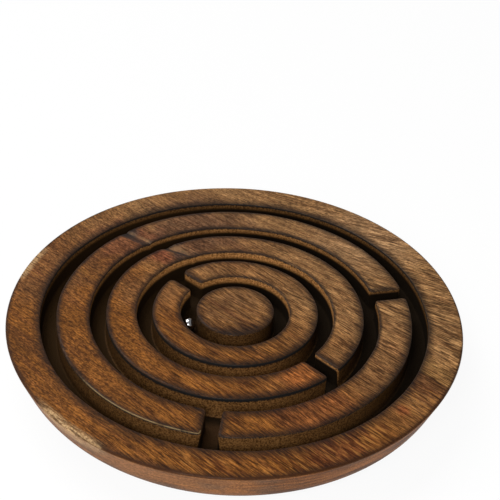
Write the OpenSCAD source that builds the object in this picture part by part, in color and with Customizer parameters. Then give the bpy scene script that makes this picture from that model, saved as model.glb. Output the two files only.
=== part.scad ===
// Round dexterity puzzle: a carved hardwood board with ring grooves, and steel balls that roll in them.
// Tilting the board brings each ball through the gates in the ring walls, from the outer groove inwards.
// Millimetres, +Z up. The origin is the middle of the flat base, and +Y runs along the grain.

/* [Balls] */
// Diameter of each steel ball
ball_d = 4.76; // [3:0.01:7]
// Room between a ball and each wall of its groove
groove_play = 0.27; // [0.15:0.01:0.8]
// Room between a ball and each side of a gate
gate_play = 0.12; // [0.1:0.01:0.8]
// Air between a resting ball and the groove's floor
ball_lift = 0.1; // [0.05:0.01:0.3]
// Place of the ball in the inner groove, in degrees from +X
inner_ball_angle = 141; // [105:1:165]
// Place of the ball in the third groove
third_ball_angle = 52; // [20:1:70]
// Place of the ball in the outer groove
outer_ball_angle = 38; // [20:1:70]

/* [Board] */
// Thickness of the board
board_t = 19; // [14:0.5:30]
// Depth of the grooves and gates
groove_depth = 8; // [5:0.1:10]
// Diameter of the island in the middle
island_d = 26.4; // [16:0.1:40]
// Width of the inner ring wall
inner_wall_w = 9.6; // [6:0.1:16]
// Width of the middle ring wall
middle_wall_w = 10.3; // [6:0.1:16]
// Width of the outer ring wall
outer_wall_w = 11.1; // [6:0.1:16]
// Width of the rim
rim_w = 11.3; // [6:0.1:20]
// Slope of the side below the rim, in degrees from upright
side_slope = 20; // [8:1:30]
// Rounding between the side and the flat base
base_round_r = 16; // [8:0.5:18]

/* [Edges] */
// Easing of the top edges that face away from the middle
outer_edge_ease = 0.65; // [0.3:0.05:0.9]
// Easing of the top edges that face the middle, and of the gates' edges
inner_edge_ease = 0.45; // [0.2:0.05:0.8]
// Easing of the rim's outer top edge
arris_r = 0.6; // [0.4:0.1:2]
// Rounding of the ring ends' upright corners at a gate
gate_corner_r = 1.2; // [0.9:0.1:2]

/* [Gates] */
// Place of the gate in the inner ring wall, in degrees from +X
inner_gate_angle = 91; // [0:1:359]
// Place of the gate in the middle ring wall
middle_gate_angle = 269; // [0:1:359]
// Places of the two gates in the outer ring wall
outer_gate_angles = [216, 325]; // [0:1:359]

/* [Notches] */
// Depth of the shallow notches across the outer and middle ring walls
notch_depth = 0.8; // [0.7:0.1:1.6]
// Width of a notch's gentle slope
notch_gentle_w = 3.3; // [1.5:0.1:5]
// Width of a notch's steep slope
notch_steep_w = 1.3; // [0.8:0.1:3]
// Place of the notch in the outer ring wall
outer_notch_angle = 85; // [0:1:359]
// Turn of the outer wall's notch away from its radius
outer_notch_turn = 14; // [0:1:30]
// Place of the notch in the middle ring wall
middle_notch_angle = 76; // [0:1:359]
// Turn of the middle wall's notch away from its radius
middle_notch_turn = 28; // [0:1:30]

/* [Hidden] */
$fn = 96;
wood = [0.42, 0.27, 0.15];
steel = [0.75, 0.76, 0.78];

groove_w = ball_d + 2 * groove_play;
gate_w = ball_d + 2 * gate_play;
floor_z = board_t - groove_depth;
ball_z = floor_z + ball_lift + ball_d / 2;
// How far a cutter runs past the face that it opens
overcut = 1;
// How far a rounded corner reaches past the two faces that it joins, so that they cross cleanly
corner_bite = 0.03;

// Middle radius of each groove, from the island outwards
inner_mid = island_d / 2 + groove_w / 2;
second_mid = inner_mid + groove_w + inner_wall_w;
third_mid = second_mid + groove_w + middle_wall_w;
outer_mid = third_mid + groove_w + outer_wall_w;
groove_mids = [inner_mid, second_mid, third_mid, outer_mid];
board_r = outer_mid + groove_w / 2 + rim_w;
// Where the side's slope would meet the planes of the top and of the base, were their corners sharp
top_corner_r = board_r + arris_r * (tan(side_slope) + 1 / cos(side_slope) - 1);
base_corner_r = top_corner_r - board_t * tan(side_slope);

// Each gate: its place, and the middles of the two grooves that it joins
gates = concat(
    [[inner_gate_angle, inner_mid, second_mid], [middle_gate_angle, second_mid, third_mid]],
    [for (angle = outer_gate_angles) [angle, third_mid, outer_mid]]
);

// Sliver between a corner and the round of radius r that touches both its sides.
// The corner is at the origin, one side runs along +X, and the other turns from it by angle.
module corner_waste(r, angle) {
    inset = r - corner_bite;
    touch = inset / tan(angle / 2);
    difference() {
        polygon([
            [touch, inset], [touch, -overcut], [-overcut / tan(angle / 2), -overcut],
            touch * [cos(angle), sin(angle)] + overcut * [-sin(angle), cos(angle)]
        ]);
        translate([touch, inset])
            circle(r);
    }
}

// Section that eases the two top edges of a groove or gate of width w, where the top face is Y = 0
module easing_section(w, left_ease, right_ease) {
    polygon([
        [-w / 2 - left_ease - overcut, overcut], [-w / 2 + overcut, -left_ease - overcut],
        [w / 2 - overcut, -right_ease - overcut], [w / 2 + right_ease + overcut, overcut]
    ]);
}

// Half section of the uncarved board, turned about the Y axis
module board_section() {
    difference() {
        polygon([[0, 0], [base_corner_r, 0], [top_corner_r, board_t], [0, board_t]]);
        translate([base_corner_r, 0])
            rotate(90 - side_slope)
                corner_waste(base_round_r, 90 + side_slope);
        translate([top_corner_r, board_t])
            rotate(180)
                corner_waste(arris_r, 90 - side_slope);
    }
}

// Rounds the plan corner where a gate along +X meets a ring wall's face of radius wall_r.
// outward is 1 where the groove lies outside that face, and -1 where it lies inside.
module gate_corner(wall_r, outward) {
    inset = gate_corner_r - corner_bite;
    post_y = gate_w / 2 + inset;
    post_r = wall_r - outward * inset;
    post_x = sqrt(pow(post_r, 2) - pow(post_y, 2));
    clear_r = wall_r + outward * gate_corner_r;
    difference() {
        polygon([[post_x, 0], [post_x, post_y], [post_x, post_y] * clear_r / post_r, [clear_r, 0]]);
        translate([post_x, post_y])
            circle(gate_corner_r);
    }
}

// Plan of one gate along +X, from the groove inside a ring wall to the groove outside it
module gate_plan(inside_mid, outside_mid) {
    translate([inside_mid, -gate_w / 2])
        square([outside_mid - inside_mid, gate_w]);
    for (side = [0, 1])
        mirror([0, side]) {
            gate_corner(inside_mid + groove_w / 2, -1);
            gate_corner(outside_mid - groove_w / 2, 1);
        }
}

// Plan of everything that is carved down to the groove floor
module maze_plan() {
    for (mid = groove_mids)
        difference() {
            circle(mid + groove_w / 2);
            circle(mid - groove_w / 2);
        }
    for (gate = gates)
        rotate(gate[0])
            gate_plan(gate[1], gate[2]);
}

// Easing of the top edges along all grooves and gates
module edge_easing() {
    translate([0, 0, board_t]) {
        for (mid = groove_mids)
            rotate_extrude()
                translate([mid, 0])
                    easing_section(groove_w, outer_edge_ease, inner_edge_ease);
        for (gate = gates)
            rotate(gate[0])
                translate([gate[1], 0])
                    rotate([90, 0, 90])
                        linear_extrude(gate[2] - gate[1])
                            easing_section(gate_w, inner_edge_ease, inner_edge_ease);
    }
}

// Shallow notch across the top of one ring wall at angle, turned away from its radius.
// before_w and after_w are the widths of its slopes towards smaller and larger angles.
module notch_cut(angle, turn, inside_mid, outside_mid, before_w, after_w) {
    length = outside_mid - inside_mid;
    // How much wider the cutter is where it stands above the top face
    growth = 1 + overcut / notch_depth;
    rotate(angle)
        translate([(inside_mid + outside_mid) / 2, 0, board_t])
            rotate(turn)
                rotate([90, 0, 90])
                    linear_extrude(length, center = true)
                        polygon([
                            [-before_w * growth, overcut], [0, -notch_depth], [after_w * growth, overcut]
                        ]);
}

// Carved board, in one piece with its rim, ring walls and island
module maze_board() {
    color(wood)
        difference() {
            rotate_extrude()
                board_section();
            translate([0, 0, floor_z])
                linear_extrude(groove_depth + overcut)
                    maze_plan();
            edge_easing();
            notch_cut(
                outer_notch_angle, outer_notch_turn, third_mid, outer_mid,
                notch_steep_w, notch_gentle_w
            );
            notch_cut(
                middle_notch_angle, middle_notch_turn, second_mid, third_mid,
                notch_gentle_w, notch_steep_w
            );
        }
}

// Steel ball, resting in the groove of middle radius mid
module steel_ball(mid, angle) {
    color(steel)
        rotate(angle)
            translate([mid, 0, ball_z])
                sphere(d = ball_d);
}

module steel_ball_1() { steel_ball(inner_mid, inner_ball_angle); }
module steel_ball_2() { steel_ball(third_mid, third_ball_angle); }
module steel_ball_3() { steel_ball(outer_mid, outer_ball_angle); }

maze_board();
steel_ball_1();
steel_ball_2();
steel_ball_3();
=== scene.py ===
"""Looks of a round labyrinth puzzle: a carved hardwood board and the steel balls that roll in its grooves."""
import math
from types import SimpleNamespace

import bpy
import numpy as np
from mathutils import Matrix, Vector, noise
from mathutils.geometry import delaunay_2d_cdt
from mathutils.kdtree import KDTree


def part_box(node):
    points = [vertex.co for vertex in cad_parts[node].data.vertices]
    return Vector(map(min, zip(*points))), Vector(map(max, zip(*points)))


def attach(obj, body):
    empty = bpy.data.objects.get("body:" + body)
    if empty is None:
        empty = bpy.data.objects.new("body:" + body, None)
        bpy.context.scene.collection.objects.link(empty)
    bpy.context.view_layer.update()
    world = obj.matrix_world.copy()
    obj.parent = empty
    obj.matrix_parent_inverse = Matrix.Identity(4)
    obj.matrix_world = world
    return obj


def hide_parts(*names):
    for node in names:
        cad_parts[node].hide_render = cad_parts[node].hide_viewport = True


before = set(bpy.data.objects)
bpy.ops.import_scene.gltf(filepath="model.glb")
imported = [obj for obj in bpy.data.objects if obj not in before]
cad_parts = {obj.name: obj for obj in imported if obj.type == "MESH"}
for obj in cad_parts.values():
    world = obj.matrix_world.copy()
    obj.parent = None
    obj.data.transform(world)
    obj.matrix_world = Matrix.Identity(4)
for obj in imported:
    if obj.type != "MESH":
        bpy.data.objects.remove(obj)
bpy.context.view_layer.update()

# Sizes are in millimetres, in the solids' own frame: +Z up, +Y along the grain, and the origin in the middle
# of the base
MM = 0.001
board_low, board_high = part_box("maze_board")
BOARD_R = (board_high.x - board_low.x) / 2 / MM
BOARD_T = board_high.z / MM

# The maze, from the island outwards
GROOVE_DEPTH = 8.0
GROOVE_W = 5.3
GATE_W = 5.0
ISLAND_R = 13.2
RING_WIDTHS = (9.6, 10.3, 11.1)
RING_GATES = ((91,), (269,), (216, 325))
FLOOR_Z = BOARD_T - GROOVE_DEPTH

# Plan rounding of each ring wall's gate corners, on its inner face and on its outer face
GATE_CORNERS = ((1.0, 2.0), (1.5, 1.0), (1.2, 1.2))

# Rounding of the top edges, by the way that they face
ARRIS_R = 0.6
FOOT_R = 0.5
GATE_EDGE_R = 0.7
INNER_EDGE_R = 0.45
OUTER_EDGE_R = 0.6
EDGE_R_SPREAD = 0.2
EDGE_R_LENGTH = 9.0

# Side of the board: its slope in degrees from upright, the rounding above the flat base, and how far the rim
# stands off the middle towards +X
SIDE_SLOPE = 20.0
BASE_ROUND_R = 16.0
RIM_SHIFT = 0.35

# Painted light and shade on the walls, from the island outwards and then the rim: the upper wall is painted
# lit and the wall below is painted in shade. Each is given by its painted lightness, by the depth where the
# dark burnish of the edge ends, and by the depth where the wall turns dark again in painted shade.
OUTER_WALLS = ((0.17, 0.4, 8.0), (0.33, 1.5, 9.0), (0.33, 1.5, 9.0), (0.33, 0.6, 7.0))
INNER_WALLS = ((0.0, 0.0, 0.1), (0.95, 0.4, 2.5), (1.0, 0.5, 2.7), (0.62, 0.7, 2.2), (0.25, 0.9, 2.3))
GATE_WALLS = ((0.0, 0.0, 0.1), (0.65, 0.6, 2.6), (0.75, 0.4, 1.1), (0.3, 0.5, 1.4), (0.0, 0.0, 0.1))
# How much of their painted light the outward walls keep towards the near side, right, far side and left; the
# walls that face away from the front light keep little and are painted in shade
OUTER_LIGHTS = (1.0, 0.05, 0.6, 0.25)

# Width of the dark border on the top along each edge, towards the near side, right, far side and left: partly
# burnt wood and partly painted shade, so it changes with the way the edge faces
ISLAND_BROWS = (4.0, 3.6, 2.2, 2.0)
OUTER_BROWS = (2.6, 2.8, 1.7, 1.3)
INNER_BROWS = (3.6, 0.7, 1.9, 1.9)
RIM_BROWS = (4.2, 2.2, 3.8, 2.6)
ARRIS_BROWS = (2.8, 0.7, 0.2, 1.6)
GATE_BROW = 2.6
NEAR_SIDE = math.radians(222)

# Shallow notches: ring number, outer and inner end of the crease, width of the slope towards -X and towards
# +X at both ends, and depth at both ends
NOTCH_PAINT_R = 13.0
NOTCHES = (
    (2, (4.2, 60.1), (5.9, 49.0), (3.3, 3.3), (1.0, 1.0), (0.65, 0.65)),
    (1, (8.2, 43.2), (10.8, 33.2), (2.2, 1.5), (3.8, 0.8), (0.8, 0.4)),
)

# Hand-carved unevenness: how far faces wander, and over what length. The walls lean only near their top,
# above the balls.
WALL_WANDER = 0.13
WALL_WANDER_LENGTH = 17.0
SIDE_WANDER_LENGTH = 30.0
EDGE_LEAN = 0.3
EDGE_LEAN_LENGTH = 24.0
LEAN_START_Z = 16.2
TOP_WAVE = 0.12
TOP_WAVE_LENGTH = 26.0
FLOOR_WAVE = 0.1
FLOOR_WAVE_LENGTH = 3.5

# Mesh spacing
SPACING = 0.75
CORNER_SPACING = 0.3
NOTCH_SPACING = 0.4
BALL_DIVISIONS = 24

# Gap given to points that have no eased edge near them
FAR = 9.0

# Camera, from circles fitted to the photograph
CAMERA_AZIMUTH = -138.2
CAMERA_ELEVATION = 38.76
CAMERA_DISTANCE = 375.6
CAMERA_TARGET = (29.0, 20.1)
CAMERA_ROLL = 3.1
FOCAL_PX = 1104.6
IMAGE_PX = 500
SENSOR_MM = 36.0


# Plan outlines

def turned(points, degrees):
    """Points turned about the board's middle."""
    angle = math.radians(degrees)
    cos, sin = math.cos(angle), math.sin(angle)
    return [(x * cos - y * sin, x * sin + y * cos) for x, y in points]


def arc(centre, radius, start, end, step):
    """Points along an arc, both ends included, from angle start to angle end in radians."""
    count = max(2, math.ceil(abs(end - start) * radius / step))
    angles = np.linspace(start, end, count + 1)
    return [(centre[0] + radius * math.cos(a), centre[1] + radius * math.sin(a)) for a in angles]


def circle(radius, step=SPACING):
    """Closed loop round the middle, anticlockwise."""
    return arc((0, 0), radius, 0, 2 * math.pi, step)[:-1]


def gate_side(inner_r, outer_r, corners):
    """Left side of a gate along +X, from the wall's inner face to its outer face, with rounded corners."""
    inner_y, outer_y = (GATE_W / 2 + corner for corner in corners)
    inner_x = math.sqrt((inner_r + corners[0]) ** 2 - inner_y ** 2)
    outer_x = math.sqrt((outer_r - corners[1]) ** 2 - outer_y ** 2)
    inner_turn = math.atan2(inner_y, inner_x) - math.pi
    outer_turn = math.atan2(outer_y, outer_x)
    inner_corner = arc((inner_x, inner_y), corners[0], inner_turn, -math.pi / 2, CORNER_SPACING)
    outer_corner = arc((outer_x, outer_y), corners[1], -math.pi / 2, outer_turn, CORNER_SPACING)
    count = math.ceil((outer_x - inner_x) / SPACING)
    straight = [(x, GATE_W / 2) for x in np.linspace(inner_x, outer_x, count + 1)[1:-1]]
    return inner_corner + straight + outer_corner


def ring_outlines(inner_r, outer_r, gates, corners):
    """Closed outlines of a ring wall's pieces between its gates, with the wood on the left."""
    left = gate_side(inner_r, outer_r, corners)
    right = [(x, -y) for x, y in left]
    outlines = []
    for here, after in zip(gates, gates[1:] + (gates[0] + 360,)):
        start = turned(left, here)
        end = turned(right, after)
        outer_trim = math.atan2(left[-1][1], left[-1][0])
        inner_trim = math.atan2(left[0][1], left[0][0])
        first, last = math.radians(here), math.radians(after)
        outside = arc((0, 0), outer_r, first + outer_trim, last - outer_trim, SPACING)
        inside = arc((0, 0), inner_r, last - inner_trim, first + inner_trim, SPACING)
        outlines.append(start + outside[1:-1] + end[::-1] + inside[1:-1])
    return outlines


def outward(loop):
    """Unit vectors away from the wood at each point of a loop that has the wood on its left."""
    points = np.array(loop)
    along = np.roll(points, -1, axis=0) - np.roll(points, 1, axis=0)
    along /= np.linalg.norm(along, axis=1)[:, None]
    return np.column_stack((along[:, 1], -along[:, 0]))


# Hand-carved unevenness

def waver(x, y, length, seed):
    """Smooth noise between about -1 and 1 that varies over the given length."""
    return noise.noise(Vector((x / length, y / length, seed)))


def notch_drop(x, y):
    """Depth of the shallow notches at a point of the top."""
    drop = 0.0
    for ring, outer, inner, left_w, right_w, depth in NOTCHES:
        inner_r, outer_r = rings[ring][:2]
        if abs(math.hypot(x, y) - (inner_r + outer_r) / 2) > (outer_r - inner_r + GROOVE_W) / 2:
            continue
        run = Vector(inner) - Vector(outer)
        away = Vector((x, y)) - Vector(outer)
        t = min(1.0, max(0.0, away.dot(run) / run.length_squared))
        aside = (away.y * run.x - away.x * run.y) / run.length
        width = left_w if aside < 0 else right_w
        slope = 1 - abs(aside) / (width[0] + t * (width[1] - width[0]))
        drop = max(drop, slope * (depth[0] + t * (depth[1] - depth[0])))
    return drop


def notch_points():
    """Points along the creases and the slopes' borders, so that the mesh follows them."""
    points = []
    for _, outer, inner, left_w, right_w, _ in NOTCHES:
        run = Vector(inner) - Vector(outer)
        across = Vector((-run.y, run.x)).normalized()
        for t in np.linspace(0, 1, math.ceil(run.length / NOTCH_SPACING)):
            left = left_w[0] + t * (left_w[1] - left_w[0])
            right = right_w[0] + t * (right_w[1] - right_w[0])
            for aside in (-left, -left / 2, -0.3, 0.0, 0.3, right / 2, right):
                points.append(Vector(outer) + run * float(t) + across * float(aside))
    return np.array(points)


def top_z(x, y):
    """Height of the carved top."""
    return BOARD_T + TOP_WAVE * (waver(x, y, TOP_WAVE_LENGTH, 3.7) - 1) / 2 - notch_drop(x, y)


def floor_z(x, y):
    """Height of the groove floor."""
    return FLOOR_Z + FLOOR_WAVE * (waver(x, y, FLOOR_WAVE_LENGTH, 8.1) - 1) / 2


# Mesh building

class Skin:
    """Gathers the points, faces and zones of one closed surface."""

    # What each point knows: millimetres from an eased edge, width of that edge's dark border, share of wall,
    # depth below the top, painted lightness of the wall, depths between which the wall is painted lit, share
    # of the outer side
    ZONES = ("edge_gap", "brow", "wall", "depth", "light", "light_from", "light_to", "side")

    def __init__(self):
        self.points = []
        self.zones = []
        self.faces = []

    def add(self, points, zones):
        """Add points, each with its zones."""
        first = len(self.points)
        self.points.extend(points)
        self.zones.extend(zones)
        return list(range(first, len(self.points)))

    def bridge(self, lower, upper):
        """Join two closed rings of points with quads that face away from the wood."""
        count = len(lower)
        for i in range(count):
            j = (i + 1) % count
            self.faces.append((lower[i], lower[j], upper[j], upper[i]))

    def fill(self, rings_in, height, zone, upward=True):
        """Fill the plan between closed rings with even triangles.

        zone gives a point's zones from those of its edge.
        """
        loops = [np.array([self.points[i][:2] for i in ring]) for ring in rings_in]
        borders = [i for ring in rings_in for i in ring]
        tree = KDTree(len(borders))
        for number, i in enumerate(borders):
            x, y, _ = self.points[i]
            tree.insert((x, y, 0), number)
        tree.balance()
        spots = []
        for x, y in scatter(loops):
            _, number, near = tree.find((x, y, 0))
            if near > 0.55 * SPACING:
                gap, brow = self.zones[borders[number]][:2]
                spots.append((x, y, near + gap, brow))
        new = self.add([(x, y, height(x, y)) for x, y, _, _ in spots], [zone(*spot[2:]) for spot in spots])
        index = borders + new
        flat = [Vector(self.points[i][:2]) for i in index]
        edges, start = [], 0
        for ring in rings_in:
            count = len(ring)
            edges.extend((start + i, start + (i + 1) % count) for i in range(count))
            start += count
        result = delaunay_2d_cdt(flat, edges, [], 0, 1e-6)
        triangles = [tri for tri in result[2] if len(tri) == 3]
        origin = [ids[0] for ids in result[3]]
        middles = np.array([sum((result[0][i] for i in tri), Vector((0, 0))) / 3 for tri in triangles])
        kept = inside(middles, loops)
        for tri, keep in zip(triangles, kept):
            if keep:
                a, b, c = (index[origin[i]] for i in tri)
                self.faces.append((a, b, c) if upward else (a, c, b))

    def build(self, name, material):
        """Make the object, in metres, with its zones as attributes."""
        mesh = bpy.data.meshes.new(name)
        mesh.from_pydata([(x * MM, y * MM, z * MM) for x, y, z in self.points], [], self.faces)
        mesh.validate()
        mesh.shade_smooth()
        for number, zone in enumerate(self.ZONES):
            layer = mesh.attributes.new(zone, "FLOAT", "POINT")
            layer.data.foreach_set("value", [zones[number] for zones in self.zones])
        mesh.materials.append(material)
        piece = bpy.data.objects.new(name, mesh)
        bpy.context.scene.collection.objects.link(piece)
        return piece


def inside(points, loops):
    """Which points lie inside the loops, by counting crossings to the right of each point."""
    crossings = np.zeros(len(points), int)
    for loop in loops:
        x1, y1 = loop[:, 0], loop[:, 1]
        x2, y2 = np.roll(x1, -1), np.roll(y1, -1)
        for first in range(0, len(points), 2000):
            x, y = points[first:first + 2000, 0:1], points[first:first + 2000, 1:2]
            spans = (y1 > y) != (y2 > y)
            rise = np.where(y2 == y1, 1.0, y2 - y1)
            hits = spans & (x < x1 + (y - y1) * (x2 - x1) / rise)
            crossings[first:first + 2000] += hits.sum(axis=1)
    return crossings % 2 == 1


def scatter(loops):
    """Points inside the loops: along the notches, and elsewhere on circles a mesh spacing apart."""
    radii = np.concatenate([np.hypot(loop[:, 0], loop[:, 1]) for loop in loops])
    low = 0.0 if len(loops) == 1 and inside(np.zeros((1, 2)), loops)[0] else radii.min()
    circles = []
    for number, radius in enumerate(np.arange(low + SPACING / 2, radii.max(), SPACING * 0.87)):
        count = max(5, round(2 * math.pi * radius / SPACING))
        angles = (np.arange(count) + number % 2 / 2) * 2 * math.pi / count
        circles.append(np.column_stack((radius * np.cos(angles), radius * np.sin(angles))))
    points = np.vstack(circles)
    creases = notch_points()
    gaps = np.hypot(points[:, None, 0] - creases[None, :, 0], points[:, None, 1] - creases[None, :, 1])
    points = np.vstack((points[gaps.min(axis=1) > NOTCH_SPACING], creases))
    return points[inside(points, loops)]


def sided(widths, x, y):
    """Value at a point of the plan, from those at the near side, right, far side and left."""
    turns = math.atan2(y, x) - NEAR_SIDE
    return sum(width * max(0.0, math.cos(turns - k * math.pi / 2)) ** 2 for k, width in enumerate(widths))


def loft_wall(skin, loop, number, outer_brows=OUTER_BROWS, inner_brows=INNER_BROWS):
    """Raise one wall from its foot to its eased top edge. Returns its lowest and highest rings."""
    normals = outward(loop)
    seed = 1 + 4 * number
    # Painted light of the wall at each point: its lightness and the depths between which it is painted lit
    edge_r, brows, painted_light = [], [], []
    for (x, y), (nx, ny) in zip(loop, normals):
        facing = (nx * x + ny * y) / math.hypot(x, y)
        out, in_ = max(0.0, facing) ** 4, max(0.0, -facing) ** 4
        shares = np.array((out, in_, 1 - out - in_))
        radius = shares @ (OUTER_EDGE_R, INNER_EDGE_R, GATE_EDGE_R)
        edge_r.append(radius * (1 + EDGE_R_SPREAD * waver(x, y, EDGE_R_LENGTH, seed + 40)))
        brows.append(shares @ (sided(outer_brows, x, y), sided(inner_brows, x, y), GATE_BROW))
        light, *depths = OUTER_WALLS[min(number, len(OUTER_WALLS) - 1)]
        outer = (light * sided(OUTER_LIGHTS, x, y), *depths)
        painted_light.append(tuple(shares @ np.array((outer, INNER_WALLS[number], GATE_WALLS[number]))))
    levels = [("foot", t) for t in np.linspace(0, math.pi / 2, 4)]
    levels += [("wall", t) for t in (0.25, 0.5, 0.7, 0.85, 0.95)]
    levels += [("edge", t) for t in np.linspace(0, math.pi / 2, 7)]
    found = []
    for kind, t in levels:
        points, zones = [], []
        for (x, y), (nx, ny), r, brow, light in zip(loop, normals, edge_r, brows, painted_light):
            ground = floor_z(x, y)
            top = top_z(x, y)
            if kind == "foot":
                out, z = FOOT_R * (1 - math.sin(t)), ground + FOOT_R * (1 - math.cos(t))
            elif kind == "wall":
                out, z = 0.0, ground + FOOT_R + t * (top - r - ground - FOOT_R)
            else:
                out, z = -r * (1 - math.cos(t)), top - r * (1 - math.sin(t))
            lean = max(0.0, (z - LEAN_START_Z) / (BOARD_T - LEAN_START_Z))
            out += WALL_WANDER * waver(x, y, WALL_WANDER_LENGTH, seed + z / 9)
            out += EDGE_LEAN * lean * waver(x, y, EDGE_LEAN_LENGTH, seed + 20)
            points.append((x + nx * out, y + ny * out, z))
            gap = 0.0 if kind == "edge" else top - r - z
            wall = 1 - t / (math.pi / 2) if kind == "edge" else 1.0
            zones.append((gap, brow, wall, top - z, *light, 0.0))
        found.append(skin.add(points, zones))
    for lower, upper in zip(found, found[1:]):
        skin.bridge(lower, upper)
    return found[0], found[-1]


def side_profile():
    """Radius, height and distance from the arris of each ring of points, from the top to the flat base."""
    slope = math.radians(SIDE_SLOPE)
    arris_x, arris_z = BOARD_R - ARRIS_R, BOARD_T - ARRIS_R
    # The base's round touches the same slope as the arris does
    reach = arris_x * math.cos(slope) - arris_z * math.sin(slope) + ARRIS_R
    base_x = (reach - BASE_ROUND_R * (1 - math.sin(slope))) / math.cos(slope)
    profile = []
    for turn in np.linspace(math.pi / 2, -slope, 8):
        gap = abs(turn - math.pi / 4) * ARRIS_R
        profile.append((arris_x + ARRIS_R * math.cos(turn), arris_z + ARRIS_R * math.sin(turn), gap))
    below = [(base_x + BASE_ROUND_R * math.cos(turn), BASE_ROUND_R * (1 + math.sin(turn)), FAR)
             for turn in np.linspace(-slope, -math.pi / 2, 20)]
    (high_r, high_z, _), (low_r, low_z, _) = profile[-1], below[0]
    between = [(high_r + t * (low_r - high_r), high_z + t * (low_z - high_z), FAR)
               for t in np.linspace(0, 1, 10)]
    return profile + between[1:-1] + below


def turn_side(skin):
    """Outside of the board, from the rim's top edge down to the flat base. Returns its highest ring."""
    found = []
    for radius, z, gap in side_profile():
        points, zones = [], []
        for x, y in circle(radius, SPACING * radius / BOARD_R):
            free = min(1.0, z / 4)
            swell = 1 + WALL_WANDER * waver(x, y, SIDE_WANDER_LENGTH, 60 + z / 12) * free / radius
            wave = (top_z(x, y) - BOARD_T) * max(0.0, z / BOARD_T - 0.9) * 10
            points.append((x * swell + RIM_SHIFT * free, y * swell, z + wave))
            side = min(1.0, (BOARD_T - z) / ARRIS_R)
            zones.append((gap, sided(ARRIS_BROWS, x, y), 0.0, 0.0, 0.0, 0.0, 0.0, side))
        found.append(skin.add(points, zones))
    for upper, lower in zip(found, found[1:]):
        skin.bridge(lower, upper)

    def base_zone(gap, brow):
        return (FAR, brow, 0.0, 0.0, 0.0, 0.0, 0.0, 1.0)

    skin.fill([found[-1]], lambda x, y: 0.0, base_zone, upward=False)
    return found[0]


def build_board(material):
    """The carved board as one closed surface."""
    skin = Skin()
    feet = []

    def top_zone(gap, brow):
        return (gap, brow, 0.0, 0.0, 0.0, 0.0, 0.0, 0.0)

    # Groove floors get no painted light: they are painted dark, partly for their dark residue and partly as
    # painted shade
    def floor_zone(gap, brow):
        return (FAR, brow, 1.0, GROOVE_DEPTH, 0.0, 0.0, 0.1, 0.0)

    island_foot, island_top = loft_wall(skin, circle(ISLAND_R), 0, outer_brows=ISLAND_BROWS)
    skin.fill([island_top], top_z, top_zone)
    feet.append(island_foot)
    for number, (inner_r, outer_r, gates) in enumerate(rings):
        for loop in ring_outlines(inner_r, outer_r, gates, GATE_CORNERS[number]):
            foot, top = loft_wall(skin, loop, number + 1)
            skin.fill([top], top_z, top_zone)
            feet.append(foot)
    rim_loop = circle(rings[-1][1] + GROOVE_W)[::-1]
    rim_foot, rim_top = loft_wall(skin, rim_loop, len(rings) + 1, inner_brows=RIM_BROWS)
    skin.fill([rim_foot] + feet, floor_z, floor_zone)
    skin.fill([turn_side(skin), rim_top], top_z, top_zone)
    return skin.build("carved_board", material)


def build_ball(node, material):
    """A finer ball in the place of a solid ball: a subdivided cube, pushed out to the sphere."""
    low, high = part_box(node)
    centre = (low + high) / 2
    radius = (high.z - low.z) / 2
    tangents = [math.tan(math.pi / 4 * t) for t in np.linspace(-1, 1, BALL_DIVISIONS + 1)]
    points, faces, known = [], [], {}

    def point(axis, sign, u, v):
        spot = [0.0, 0.0, 0.0]
        spot[axis] = sign
        spot[(axis + 1) % 3] = u * sign
        spot[(axis + 2) % 3] = v
        key = tuple(round(c, 6) for c in spot)
        if key not in known:
            known[key] = len(points)
            points.append(centre + Vector(spot).normalized() * radius)
        return known[key]

    for axis in range(3):
        for sign in (-1.0, 1.0):
            for u0, u1 in zip(tangents, tangents[1:]):
                for v0, v1 in zip(tangents, tangents[1:]):
                    corners = ((u0, v0), (u1, v0), (u1, v1), (u0, v1))
                    faces.append([point(axis, sign, u, v) for u, v in corners])
    mesh = bpy.data.meshes.new(node + "_polished")
    mesh.from_pydata(points, [], faces)
    mesh.shade_smooth()
    mesh.materials.append(material)
    piece = bpy.data.objects.new(node + "_polished", mesh)
    bpy.context.scene.collection.objects.link(piece)
    return piece


# Materials

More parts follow.
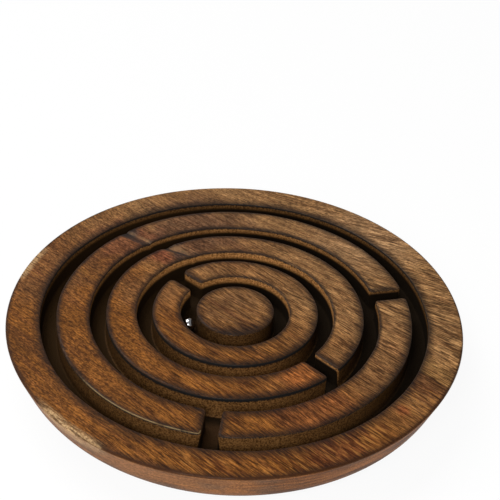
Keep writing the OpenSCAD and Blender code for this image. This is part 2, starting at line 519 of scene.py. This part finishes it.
class Graph:
    """Short calls for building a material's nodes."""

    def __init__(self, name):
        self.material = bpy.data.materials.new(name)
        self.material.use_nodes = True
        self.tree = self.material.node_tree
        self.shader = self.tree.nodes["Principled BSDF"]

    def put(self, socket, value):
        """Link a socket to another, or set its value."""
        if isinstance(value, bpy.types.NodeSocket):
            self.tree.links.new(value, socket)
        else:
            socket.default_value = value

    def node(self, kind, inputs=(), **settings):
        node = self.tree.nodes.new(kind)
        for name, value in settings.items():
            setattr(node, name, value)
        for socket, value in dict(inputs).items():
            self.put(node.inputs[socket], value)
        return node

    def attribute(self, name):
        return self.node("ShaderNodeAttribute", attribute_name=name).outputs["Fac"]

    def math(self, operation, a, b=0.0, clamp=False):
        return self.node("ShaderNodeMath", {0: a, 1: b}, operation=operation, use_clamp=clamp).outputs[0]

    def times(self, *values):
        """Product of several values."""
        product = values[0]
        for value in values[1:]:
            product = self.math("MULTIPLY", product, value)
        return product

    def line(self, value, slope, start):
        """start plus slope times value."""
        return self.math("ADD", self.math("MULTIPLY", value, slope), start)

    def without(self, value):
        """One less the value."""
        return self.math("SUBTRACT", 1.0, value)

    def vector(self, operation, a, b):
        return self.node("ShaderNodeVectorMath", {0: a, 1: b}, operation=operation).outputs[0]

    def scale(self, colour, factor):
        """A colour made lighter or darker."""
        return self.node("ShaderNodeVectorMath", {0: colour, "Scale": factor}, operation="SCALE").outputs[0]

    def noise(self, coordinates, scale, detail=2.0, roughness=0.5):
        """Noise over stretched coordinates: scale holds cycles per unit along X, Y and Z."""
        stretched = self.vector("MULTIPLY", coordinates, scale)
        return self.node("ShaderNodeTexNoise", {
            "Vector": stretched, "Scale": 1.0, "Detail": detail, "Roughness": roughness,
        }).outputs["Fac"]

    def band(self, value, low, high):
        """0 below low, 1 above high, and smooth between."""
        return self.node("ShaderNodeMapRange", {"Value": value, "From Min": low, "From Max": high},
                         interpolation_type="SMOOTHSTEP").outputs["Result"]

    def mix(self, factor, a, b):
        return self.node("ShaderNodeMix", {0: factor, 6: a, 7: b}, data_type="RGBA").outputs[2]

    def blend(self, factor, a, b):
        """Mix of two values."""
        return self.node("ShaderNodeMix", {0: factor, 2: a, 3: b}, data_type="FLOAT").outputs[0]

    def aside(self, flat, start, end):
        """Distance of a point of the plan from the line through two points, positive on its left."""
        run = Vector(end) - Vector(start)
        across = Vector((-run.y, run.x)).normalized()
        reach = self.node("ShaderNodeVectorMath", {0: flat, 1: (*across, 0.0)}, operation="DOT_PRODUCT")
        return self.math("SUBTRACT", reach.outputs["Value"], across.dot(Vector(start)))

    def patch(self, flat, x, y, radius, rough=None):
        """1 in the middle of a round patch of the plan, 0 outside it. rough makes its border uneven."""
        away = self.node("ShaderNodeVectorMath", {0: flat, 1: (x, y, 0.0)}, operation="DISTANCE")
        reach = away.outputs["Value"]
        if rough is not None:
            reach = self.math("ADD", reach, self.line(rough, radius, -0.5 * radius))
        return self.without(self.band(reach, 0.35 * radius, 1.05 * radius))

    def set(self, **values):
        """Set the shader's sockets, with underscores for spaces."""
        for name, value in values.items():
            self.put(self.shader.inputs[name.replace("_", " ")], value)


def rgb(red, green, blue):
    """A colour given as it looks on screen, from 0 to 255, in linear values."""
    def linear(value):
        value /= 255
        return value / 12.92 if value <= 0.04045 else ((value + 0.055) / 1.055) ** 2.4
    return (linear(red), linear(green), linear(blue), 1.0)


# Marks in the wood, with painted shade and light in the notches and painted sheen on the right rim: middle,
# radius, strength and colour
PATCHES = {
    "grey island": (0.0, 2.0, 15.0, 0.6, rgb(104, 75, 48)),
    "burn on the island": (-7.5, -9.0, 8.0, 0.75, rgb(60, 41, 27)),
    "golden wood on the left": (-15.0, 27.0, 14.0, 0.5, rgb(122, 84, 50)),
    "orange wall end": (-8.4, -36.5, 9.0, 0.8, rgb(158, 92, 44)),
    "red outer wall": (-18.0, -51.0, 18.0, 0.5, rgb(110, 57, 30)),
    "brown wood on the right": (12.0, -55.0, 20.0, 0.45, rgb(104, 69, 40)),
    "dark streak on the far side": (24.0, 43.0, 28.0, 0.75, rgb(90, 63, 46)),
    "red wood by the notches": (0.0, 56.0, 17.0, 0.65, rgb(104, 57, 38)),
    "dark near rim": (-27.0, -69.0, 13.0, 0.75, rgb(82, 42, 20)),
    "dim left rim": (-32.0, 63.0, 24.0, 0.55, rgb(100, 68, 43)),
    # Paler right rim: partly the wood's own tan, partly painted sheen
    "pale right rim with painted sheen": (68.0, -4.0, 26.0, 0.75, rgb(150, 114, 79)),
    "red spot in the near rim": (1.7, -69.6, 3.5, 0.5, rgb(118, 50, 26)),
    # The notches' slopes: painted shade on the dark ones and painted light on the pale one
    "painted shade in the outer notch": (4.4, 58.6, 4.2, 0.85, rgb(56, 50, 44)),
    "painted light in the outer notch": (5.5, 49.6, 2.0, 0.7, rgb(140, 104, 72)),
    "red wood by the middle notch": (3.0, 39.5, 6.0, 0.7, rgb(112, 56, 38)),
    "painted shade in the middle notch": (14.0, 42.4, 3.4, 0.75, rgb(64, 52, 46)),
    "painted shade at the middle notch's end": (8.6, 36.0, 3.4, 0.7, rgb(64, 46, 42)),
}
# Places with bold golden and dark flecks: middle, radius and strength
FLECKS = (
    (-17.0, -66.0, 15.0, 1.0),
    (-38.0, -59.0, 14.0, 0.9),
    (-57.0, -45.0, 15.0, 0.7),
    (8.0, -71.0, 11.0, 0.9),
    (-35.0, 65.0, 8.0, 0.8),
    (-25.0, 52.0, 6.0, 0.7),
    (-1.0, 1.0, 15.0, 0.5),
    (-22.0, 5.0, 11.0, 0.5),
    (-28.0, -26.0, 13.0, 0.5),
)
# Where the fibres turn from +Y: the middle of the turn, and its angle at the rim towards +X
FIBRE_PIVOT = (62.0, -25.0, 0.0)
FIBRE_TURN = math.radians(19)
# Split in the rim, across which the wood changes from red-brown to golden: its ends, and middle and radius of
# the change
SPLIT = ((19.6, -63.0), (19.6, -78.0))
SPLIT_PLACE = (19.6, -69.0, 13.0)
# Pale strands painted as highlights where the light catches the rim's outer edge: middle, radius and strength
RIM_HIGHLIGHTS = ((-76.0, -2.0, 16.0, 0.8), (-30.0, 69.0, 8.0, 0.7), (-38.0, 65.0, 6.0, 0.6))
# Painted light on the floor by the near gate, where the front light reaches into the groove: middle and
# radius
GATE_FLOOR_LIGHT = (-43.0, -30.5, 7.0)
# Painted highlight line along the outer ring wall's edge: middle and radius, and the Y where it stops, in the
# near gate
RING_HIGHLIGHT = (-58.0, -14.0, 36.0)
RING_HIGHLIGHT_END = -35.5


def wood_fields(g):
    """Values that the steps of the wood's paint share: the mesh's zones, places in millimetres and noises."""
    w = SimpleNamespace(**{zone: g.attribute(zone) for zone in Skin.ZONES})
    place = g.node("ShaderNodeTexCoord").outputs["Object"]
    w.place = g.vector("MULTIPLY", place, (1 / MM, 1 / MM, 1 / MM))
    w.flat = g.vector("MULTIPLY", w.place, (1.0, 1.0, 0.0))
    w.x, w.y, w.z = g.node("ShaderNodeSeparateXYZ", {0: w.place}).outputs
    w.radius = g.node("ShaderNodeVectorMath", {0: w.flat}, operation="LENGTH").outputs["Value"]
    w.upright = g.band(w.wall, 0.35, 0.9)
    w.rough = g.noise(w.place, (1 / 5, 1 / 6, 1 / 5), detail=3.0)
    w.cloud = g.noise(w.place, (1 / 24, 1 / 44, 1 / 24), detail=2.0)
    w.dots = g.noise(w.place, (2.0, 1.3, 2.0), detail=2.0, roughness=0.7)
    w.east = g.band(g.math("ADD", w.x, g.line(w.cloud, 70.0, -35.0)), -35.0, 50.0)
    add_fibres(g, w)
    add_wall_marks_and_light(g, w)
    return w


def add_fibres(g, w):
    """Fields of the fibres along Y: short specks or longer strands, pores and hairs."""
    sway = g.node("ShaderNodeTexNoise", {
        "Vector": g.vector("MULTIPLY", w.place, (1 / 34, 1 / 80, 1 / 34)), "Scale": 1.0, "Detail": 1.0,
    }).outputs["Color"]
    sway = g.vector("MULTIPLY", g.vector("SUBTRACT", sway, (0.5, 0.5, 0.5)), (9.0, 0.0, 9.0))
    turn = g.times(g.band(w.x, 20.0, 66.0), -FIBRE_TURN)
    turned_place = g.node("ShaderNodeVectorRotate", {"Vector": w.place, "Center": FIBRE_PIVOT, "Angle": turn},
                          rotation_type="Z_AXIS").outputs[0]
    w.fibre = g.vector("ADD", turned_place, sway)
    front = g.math("ADD", g.times(w.x, 0.08), g.times(w.y, -1.0))
    front = g.math("ADD", front, g.times(g.band(w.radius, 34.0, 24.0), 30.0))
    w.open_grain = g.band(g.math("ADD", front, g.line(w.cloud, 50.0, -25.0)), -25.0, 32.0)
    specks = g.noise(w.fibre, (2.3, 0.7, 2.3), detail=1.0, roughness=0.6)
    strands = g.noise(w.fibre, (2.6, 0.16, 2.6), detail=2.0, roughness=0.65)
    w.grain = g.blend(g.line(w.open_grain, 0.6, 0.3), specks, strands)
    pores = g.band(g.noise(w.fibre, (2.6, 0.25, 2.6), detail=1.0), 0.57, 0.66)
    w.pores = g.times(pores, g.line(w.open_grain, 0.6, 0.4))
    w.hairs = g.noise(w.fibre, (1.8, 0.1, 1.8), detail=2.0, roughness=0.6)


def add_wall_marks_and_light(g, w):
    """Fields of the walls: their coarse tool marks, and where they are painted as lit."""
    runs = g.noise(w.place, (2.2, 2.2, 0.3), detail=2.0)
    w.coarse = g.blend(0.15, w.dots, runs)
    reach = g.math("ADD", w.depth, g.line(w.dots, 1.0, -0.5))
    start = g.band(reach, g.line(w.light_from, 1.0, -0.35), g.line(w.light_from, 1.0, 0.35))
    stop = g.band(reach, g.line(w.light_to, 0.65, 0.0), g.line(w.light_to, 1.3, 0.0))
    w.open_wood = g.times(start, g.without(stop))


def paint_marks(g, w, colour):
    """Marks in the wood with some painted light and shade, and the split in the rim."""
    for px, py, patch_r, strength, paint in PATCHES.values():
        colour = g.mix(g.times(g.patch(w.flat, px, py, patch_r, w.rough), strength), colour, paint)
    beyond = g.aside(w.flat, *SPLIT)
    around = g.patch(w.flat, *SPLIT_PLACE, w.rough)
    colour = g.mix(g.times(around, g.band(beyond, 0.2, -0.2), 0.85), colour, rgb(88, 55, 31))
    colour = g.mix(g.times(around, g.band(beyond, -0.2, 0.2), 0.6), colour, rgb(144, 106, 60))
    crack = g.times(around, g.band(beyond, -0.5, -0.1), g.band(beyond, 0.5, 0.1),
                    g.band(w.radius, 64.0, 65.5))
    return g.mix(g.times(crack, 0.6), colour, rgb(40, 24, 14))


def paint_grain(g, w, colour):
    """Streaks, then grain from dark red-brown to golden, soft clouds, pores, hairs and flecks."""
    streaks = g.noise(w.fibre, (1 / 2.2, 1 / 60, 1 / 2.2), detail=3.0)
    colour = g.mix(g.times(g.band(streaks, 0.56, 0.38), g.line(w.east, -0.08, 0.45)), colour, rgb(76, 43, 23))
    tone = g.mix(g.band(w.grain, 0.37, 0.63), (0.4, 0.36, 0.34, 1.0), (1.66, 1.74, 1.78, 1.0))
    tone = g.mix(g.line(w.open_grain, 0.25, 0.75), (1.0, 1.0, 1.0, 1.0), tone)
    colour = g.vector("MULTIPLY", colour, tone)
    colour = g.scale(colour, g.line(g.noise(w.fibre, (1 / 2.5, 1 / 5, 1 / 2.5), detail=2.0), 0.9, 0.55))
    colour = g.scale(colour, g.line(g.noise(w.fibre, (2.6, 1.5, 2.6), detail=0.0), 0.9, 0.55))
    colour = g.scale(colour, g.line(g.noise(w.place, (1 / 8, 1 / 11, 1 / 8), detail=1.0), 0.8, 0.6))
    colour = g.scale(colour, g.line(w.pores, -0.5, 1.0))
    colour = g.scale(colour, g.line(g.band(w.hairs, 0.36, 0.64), 0.56, 0.73))
    bold = g.noise(w.fibre, (1.5, 0.12, 1.5), detail=2.0, roughness=0.6)
    fleck = 0.12
    for px, py, patch_r, strength in FLECKS:
        fleck = g.math("ADD", fleck, g.times(g.patch(w.flat, px, py, patch_r, w.rough), strength))
    colour = g.mix(g.times(g.band(bold, 0.54, 0.64), fleck, 0.45), colour, rgb(180, 122, 60))
    return g.mix(g.times(g.band(bold, 0.5, 0.4), fleck, 0.45), colour, rgb(76, 36, 17))


def paint_notches(g, w, colour):
    """Painted shade on the slope left of each notch's crease, and painted light on the slope right of it."""
    for number, outer, inner, left_w, right_w, _ in NOTCHES:
        ends = Vector(outer), Vector(inner)
        across = Vector((ends[0].y - ends[1].y, ends[1].x - ends[0].x)).normalized()
        left = g.aside(w.flat, *(end - across * width for end, width in zip(ends, left_w)))
        crease = g.aside(w.flat, *ends)
        right = g.aside(w.flat, *(end + across * width for end, width in zip(ends, right_w)))
        inner_r, outer_r = rings[number][:2]
        middle = (ends[0] + ends[1]) / 2
        on_ring = g.times(g.patch(w.flat, *middle, NOTCH_PAINT_R),
                          g.band(w.radius, inner_r - 0.6, inner_r - 0.3),
                          g.band(w.radius, outer_r + 0.6, outer_r + 0.3))
        dark = g.times(on_ring, g.band(left, -0.2, 0.8), g.band(crease, 0.25, 0.0))
        pale = g.times(on_ring, g.band(crease, 0.0, 0.3), g.band(right, 0.3, -0.3),
                       g.band(w.rough, 0.25, 0.55))
        # Painted shade on the left slope, then painted light on the right slope
        colour = g.mix(g.times(dark, g.line(w.rough, 0.5, 0.5)), colour, rgb(46, 39, 36))
        colour = g.mix(g.times(pale, 0.45), colour, rgb(132, 102, 70))
    return colour


def paint_borders(g, w, colour):
    """The top, darker towards its edges: partly burnt wood and partly painted shade."""
    near = g.math("DIVIDE", g.math("ADD", w.edge_gap, g.line(w.rough, 1.2, -0.6)), w.brow)
    border = g.times(g.math("SUBTRACT", 1.0, near, clamp=True), g.without(g.times(w.side, 0.7)), 0.82)
    return g.mix(border, colour, rgb(26, 20, 17))


def paint_walls(g, w, colour):
    """Walls: burnished dark at the edge, then painted light on the rough wood, and painted shade further down
    and on the groove floors.
    """
    # Painted light on the upper wall: from dark to golden by the wall's painted lightness, mottled by the
    # tool marks
    lit_wall_colour = g.mix(w.light, rgb(30, 20, 8), rgb(176, 124, 72))
    mottle = g.band(w.coarse, 0.37, 0.63)
    lit_wall_colour = g.vector("MULTIPLY", lit_wall_colour, g.mix(mottle, (0.45, 0.4, 0.34, 1.0), (1.55, 1.56, 1.54, 1.0)))
    # Painted shade where the wall is not painted lit and on the groove floors: darker towards +X and -Y, and
    # dark grey at the burnished band near the top
    left_side = g.math("ADD", g.times(w.x, -0.67), g.times(w.y, 0.74))
    dim = g.mix(g.band(left_side, -15.0, 45.0), rgb(23, 16, 8), rgb(42, 28, 12))
    dim = g.mix(g.band(w.depth, 1.9, 1.1), dim, rgb(32, 31, 30))
    cut = g.mix(w.open_wood, dim, lit_wall_colour)
    # Painted light on the floor by the near gate
    cut = g.mix(g.times(g.patch(w.flat, *GATE_FLOOR_LIGHT, w.rough), 0.6), cut, rgb(58, 38, 20))
    return g.mix(w.upright, colour, cut)


def paint_side(g, w, colour):
    """The outer side: smoother, with long lines round the board, painted light towards -X, painted shade
    towards +X and towards the base, and a dark arris.
    """
    round_about = g.node("ShaderNodeCombineXYZ", {
        "X": g.math("MULTIPLY", g.math("ARCTAN2", w.y, w.x), BOARD_R / 22),
        "Y": g.math("MULTIPLY", w.z, 0.55),
    }).outputs[0]
    lines = g.noise(round_about, (1.0, 1.0, 1.0), detail=4.0, roughness=0.6)
    side_light_and_grain = g.mix(g.band(lines, 0.34, 0.66), rgb(82, 48, 25), rgb(152, 98, 54))
    # Painted light on the side towards -X, and painted shade towards +X
    side_light_and_grain = g.mix(g.times(g.band(w.x, -35.0, -72.0), 0.4), side_light_and_grain, rgb(158, 114, 78))
    side_light_and_grain = g.mix(g.times(g.band(w.x, -10.0, 40.0), 0.55), side_light_and_grain, rgb(110, 80, 58))
    blotch = g.band(g.noise(round_about, (1.6, 0.35, 1.0), detail=2.0), 0.5, 0.68)
    side_light_and_grain = g.mix(g.times(blotch, 0.55), side_light_and_grain, rgb(104, 80, 62))
    side_light_and_grain = g.scale(side_light_and_grain, g.line(g.band(w.grain, 0.36, 0.64), 0.7, 0.6))
    # Painted shade towards the base
    side_light_and_grain = g.scale(side_light_and_grain, g.line(g.band(w.z, 2.0, 13.0), 0.4, 0.6))
    colour = g.mix(g.times(g.band(w.side, 0.25, 0.9), 0.92), colour, side_light_and_grain)
    outermost = g.band(w.radius, BOARD_R - 2.0, BOARD_R - 1.5)
    arris = g.times(g.band(w.edge_gap, 0.75, 0.35), outermost, w.brow, 0.3)
    return g.mix(g.math("MINIMUM", arris, 0.8), colour, rgb(58, 33, 17))


def paint_edge_highlights(g, w, colour):
    """Pale strands painted as highlights along the rim's outer edge, and a thin painted highlight line on the
    outer ring wall's edge.
    """
    brink = g.times(g.band(w.radius, BOARD_R - 3.2, BOARD_R - 1.2), g.band(w.z, BOARD_T - 8.0, BOARD_T - 3.0),
                    g.line(g.band(w.hairs, 0.42, 0.56), 0.75, 0.25),
                    g.line(g.band(w.dots, 0.38, 0.56), 0.6, 0.4))
    for px, py, patch_r, strength in RIM_HIGHLIGHTS:
        painted_light = g.times(g.patch(w.flat, px, py, patch_r, w.rough), brink, strength)
        colour = g.mix(painted_light, colour, rgb(210, 172, 124))
    # A thin painted highlight line on the outer ring wall's edge
    ring_r = rings[-1][1]
    thread = g.times(g.band(w.radius, ring_r - 2.0, ring_r - 1.5),
                     g.band(w.radius, ring_r + 2.0, ring_r + 1.5),
                     g.band(w.wall, 0.1, 0.3), g.band(w.wall, 0.65, 0.45), g.band(w.rough, 0.3, 0.5),
                     g.band(w.y, RING_HIGHLIGHT_END - 1.0, RING_HIGHLIGHT_END + 1.0))
    return g.mix(g.times(thread, g.patch(w.flat, *RING_HIGHLIGHT), 0.52), colour, rgb(160, 136, 92))


def wood_material():
    """Waxed coarse-pored hardwood: fibres along Y, pores, golden flecks, dark edges and dark grooves that are
    partly painted shade, with painted light and highlights on the walls, edges and side.
    """
    g = Graph("carved_wood")
    w = wood_fields(g)
    # Red-brown towards -X and tan towards +X, under everything else; the paler tan is partly painted sheen
    colour = g.mix(w.east, rgb(110, 66, 25), rgb(133, 97, 61))
    steps = (paint_marks, paint_grain, paint_notches, paint_borders, paint_walls, paint_side, paint_edge_highlights)
    for paint in steps:
        colour = paint(g, w, colour)
    relief = g.math("ADD", g.times(w.pores, -0.7), g.times(w.grain, 0.5))
    relief = g.math("ADD", relief, g.times(w.coarse, w.upright, 2.5))
    relief = g.times(relief, g.without(g.times(w.side, 0.8)))
    bump = g.node("ShaderNodeBump", {"Height": relief, "Distance": 0.12 * MM, "Strength": 0.5})
    burnish = g.times(g.without(g.band(w.edge_gap, 0.0, 0.5)), g.without(g.times(w.open_wood, w.upright)))
    deep = g.times(w.upright, g.without(w.open_wood), g.band(w.depth, 2.0, 4.0))
    gloss = g.math("ADD", g.line(burnish, -0.1, 0.5), g.times(deep, 0.4), clamp=True)
    g.set(Base_Color=colour, Roughness=gloss, Normal=bump.outputs[0], Specular_IOR_Level=0.05,
          Coat_Weight=g.times(burnish, g.band(w.rough, 0.35, 0.6), 0.08), Coat_Roughness=0.12)
    return g.material


def steel_material():
    """Polished steel with faint scuffs from rolling."""
    g = Graph("ball_steel")
    place = g.vector("MULTIPLY", g.node("ShaderNodeTexCoord").outputs["Object"], (1 / MM, 1 / MM, 1 / MM))
    scuff = g.noise(place, (3.0, 0.8, 3.0), detail=4.0, roughness=0.7)
    film = g.noise(place, (0.9, 0.9, 0.9), detail=2.0)
    colour = g.mix(g.band(film, 0.4, 0.7), rgb(204, 204, 207), rgb(178, 176, 172))
    gloss = g.line(g.band(scuff, 0.55, 0.75), 0.1, 0.06)
    g.set(Base_Color=colour, Metallic=1.0, Roughness=gloss)
    return g.material


def floor_material():
    """White floor: plain white to the camera and in reflections, with the object's soft shadow."""
    g = Graph("floor_white")
    path = g.node("ShaderNodeLightPath")
    seen = g.math("MAXIMUM", path.outputs["Is Camera Ray"], path.outputs["Is Glossy Ray"])
    seen = g.math("MAXIMUM", seen, path.outputs["Is Transmission Ray"])
    glow = g.node("ShaderNodeEmission", {"Color": (1.0, 1.0, 1.0, 1.0), "Strength": 1.0})
    matte = g.node("ShaderNodeBsdfDiffuse", {"Color": (0.9, 0.9, 0.9, 1.0)})
    share = g.math("MULTIPLY", seen, 0.92)
    both = g.node("ShaderNodeMixShader", {0: share, 1: matte.outputs[0], 2: glow.outputs[0]})
    output = g.tree.nodes["Material Output"]
    g.put(output.inputs["Surface"], both.outputs[0])
    return g.material


# Studio

def add_floor():
    half = 3.0
    mesh = bpy.data.meshes.new("floor")
    corners = [(-half, -half, 0), (half, -half, 0), (half, half, 0), (-half, half, 0)]
    mesh.from_pydata(corners, [], [(0, 1, 2, 3)])
    mesh.materials.append(floor_material())
    floor = bpy.data.objects.new("floor", mesh)
    bpy.context.scene.collection.objects.link(floor)


def add_light(name, azimuth, elevation, distance, size, power):
    """A square soft box that looks at the board, placed by angle about it."""
    lamp = bpy.data.lights.new(name, "AREA")
    lamp.shape = "SQUARE"
    lamp.size = size
    lamp.energy = power
    light = bpy.data.objects.new(name, lamp)
    bpy.context.scene.collection.objects.link(light)
    azimuth, elevation = math.radians(azimuth), math.radians(elevation)
    away = Vector((math.cos(azimuth) * math.cos(elevation), math.sin(azimuth) * math.cos(elevation),
                   math.sin(elevation)))
    light.location = away * distance
    light.rotation_euler = away.to_track_quat("Z", "Y").to_euler()


def add_world():
    """White surroundings: bright at the horizon, dimmer overhead."""
    world = bpy.data.worlds.new("studio")
    world.use_nodes = True
    tree = world.node_tree
    way = tree.nodes.new("ShaderNodeTexCoord")
    parts = tree.nodes.new("ShaderNodeSeparateXYZ")
    tree.links.new(way.outputs["Generated"], parts.inputs[0])
    strength = tree.nodes.new("ShaderNodeMapRange")
    tree.links.new(parts.outputs["Z"], strength.inputs["Value"])
    strength.inputs["From Min"].default_value = 0.03
    strength.inputs["From Max"].default_value = 0.25
    strength.inputs["To Min"].default_value = 1.0
    strength.inputs["To Max"].default_value = 0.25
    back = tree.nodes["Background"]
    back.inputs["Color"].default_value = (1.0, 1.0, 1.0, 1.0)
    tree.links.new(strength.outputs["Result"], back.inputs["Strength"])
    bpy.context.scene.world = world


def add_camera():
    azimuth, elevation = math.radians(CAMERA_AZIMUTH), math.radians(CAMERA_ELEVATION)
    reach = CAMERA_DISTANCE * math.cos(elevation)
    place = Vector((reach * math.cos(azimuth), reach * math.sin(azimuth),
                    BOARD_T + CAMERA_DISTANCE * math.sin(elevation))) * MM
    target = Vector((*CAMERA_TARGET, BOARD_T)) * MM
    ahead = (target - place).normalized()
    right = ahead.cross(Vector((0, 0, 1))).normalized()
    up = right.cross(ahead)
    roll = math.radians(CAMERA_ROLL)
    right, up = math.cos(roll) * right + math.sin(roll) * up, math.cos(roll) * up - math.sin(roll) * right
    camera = bpy.data.objects.new("camera", bpy.data.cameras.new("camera"))
    camera.data.sensor_width = SENSOR_MM
    camera.data.lens = FOCAL_PX / IMAGE_PX * SENSOR_MM
    camera.data.clip_start = 0.01
    camera.matrix_world = Matrix((right, up, -ahead)).transposed().to_4x4()
    camera.location = place
    bpy.context.scene.collection.objects.link(camera)
    bpy.context.scene.camera = camera


# Radii and gates of the ring walls, from the island outwards
rings = []
wall_r = ISLAND_R + GROOVE_W
for ring_width, ring_gates in zip(RING_WIDTHS, RING_GATES):
    rings.append((wall_r, wall_r + ring_width, ring_gates))
    wall_r += ring_width + GROOVE_W

board = build_board(wood_material())
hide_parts("maze_board")
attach(board, "board")

steel = steel_material()
for number in (1, 2, 3):
    ball = build_ball(f"steel_ball_{number}", steel)
    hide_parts(f"steel_ball_{number}")
    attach(ball, f"ball_{number}")

add_floor()
add_world()
add_light("back_light", azimuth=90, elevation=58, distance=1.0, size=0.7, power=7.5)
add_light("front_light", azimuth=212, elevation=39, distance=0.5, size=0.2, power=1.4)
add_camera()
bpy.context.scene.view_settings.view_transform = "Standard"
